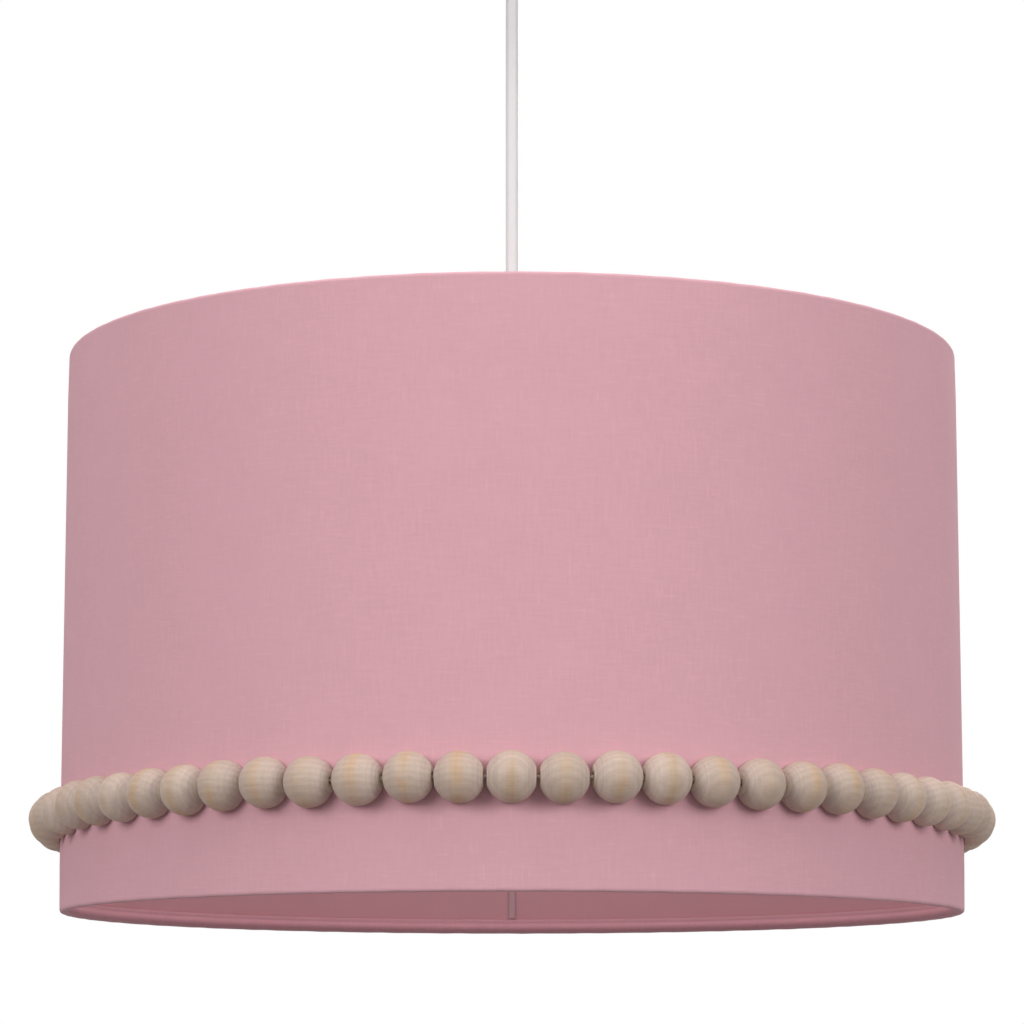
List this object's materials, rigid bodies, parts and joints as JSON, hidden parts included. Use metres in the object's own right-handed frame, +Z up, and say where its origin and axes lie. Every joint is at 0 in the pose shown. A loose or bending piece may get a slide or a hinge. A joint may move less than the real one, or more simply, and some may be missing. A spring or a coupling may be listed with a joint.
{
  "type": "pendant light",
  "caption": "Ceiling pendant light: a fabric drum shade on a short cord, with one row of round wooden beads strung round its lower part.",
  "frame": {"origin": "middle of the face of the ceiling bracket that meets the ceiling", "axes": "+Z up into the ceiling, -Y the front, the shade's joint at the back (+Y)"},
  "size_m": [0.426, 0.4266, 0.496],
  "materials": {
    "cotton": "matt plain-weave cotton, dusty pink",
    "lining": "matt lining with the pink cloth showing through",
    "tape": "pale woven tape",
    "wood": "raw turned wood",
    "white_metal": "white powder coat",
    "white_plastic": "white moulded plastic",
    "white_flex": "smooth white flexible cord sheath",
    "ceramic": "unglazed white porcelain",
    "brass": "plain rolled brass",
    "zinc_steel": "bright zinc plate",
    "brown_core": "brown core insulation",
    "blue_core": "blue core insulation"
  },
  "bodies": {
    "rose": {"ceiling_bracket": "zinc_steel", "rose_cover": "white_metal", "rose_fixing_right": "zinc_steel", "rose_fixing_left": "zinc_steel", "rose_cord_grip": "white_plastic", "rose_locknut": "zinc_steel", "rose_cord_tail": "white_flex", "rose_brown_core": "brown_core", "rose_blue_core": "blue_core", "terminal_block": "white_plastic"},
    "cord": {"pendant_cord": "white_flex"},
    "holder": {"holder_cord_grip": "white_plastic", "holder_cord_tail": "white_flex", "holder_cap": "white_plastic", "holder_skirt": "white_plastic", "holder_insert": "ceramic", "screw_shell": "brass"},
    "contact": {"centre_contact": "brass"},
    "nut": {"ring_nut": "white_plastic"},
    "shade": {"top_wire": "white_metal", "bottom_wire": "white_metal", "lining": "lining", "fabric_cover": "cotton", "seam_tape": "tape", "carrier_hub": "white_metal", "carrier_arm_1": "white_metal", "carrier_arm_2": "white_metal", "carrier_arm_3": "white_metal", "bead_run_01": "wood", "bead_run_02": "wood", "bead_run_03": "wood", "bead_run_04": "wood", "bead_run_05": "wood", "bead_run_06": "wood", "bead_run_07": "wood", "bead_run_08": "wood", "bead_run_09": "wood", "bead_run_10": "wood", "bead_run_11": "wood", "bead_run_12": "wood", "bead_run_13": "wood", "bead_run_14": "wood", "bead_run_15": "wood", "bead_run_16": "wood", "bead_run_17": "wood", "bead_run_18": "wood", "bead_run_19": "wood", "bead_run_20": "wood", "bead_run_21": "wood", "bead_run_22": "wood", "bead_run_23": "wood", "bead_run_24": "wood", "bead_run_25": "wood", "bead_run_26": "wood", "bead_run_27": "wood", "bead_run_28": "wood", "bead_run_29": "wood", "bead_run_30": "wood", "bead_run_31": "wood"}
  },
  "joints": [
    {"name": "cord_swing", "type": "hinge", "parent": "rose", "child": "cord", "pos_m": [0, 0, -0.0683], "axis": [1, 0, 0], "range_deg": [-10, 10]},
    {"name": "holder_tilt", "type": "hinge", "parent": "cord", "child": "holder", "pos_m": [0, 0, -0.2381], "axis": [0, 1, 0], "range_deg": [-8, 8]},
    {"name": "nut_unscrew", "type": "slide", "parent": "holder", "child": "nut", "axis": [0, 0, -1], "range_m": [0, 0.02]},
    {"name": "shade_drop", "type": "slide", "parent": "holder", "child": "shade", "axis": [0, 0, -1], "range_m": [0, 0.02]},
    {"name": "contact_press", "type": "slide", "parent": "holder", "child": "contact", "axis": [0, 0, 1], "range_m": [0, 0.0015], "stiffness_N_per_m": 800}
  ],
  "couplings": [
    {"joint": "shade_drop", "follows": "nut_unscrew", "ratio": 1}
  ]
}
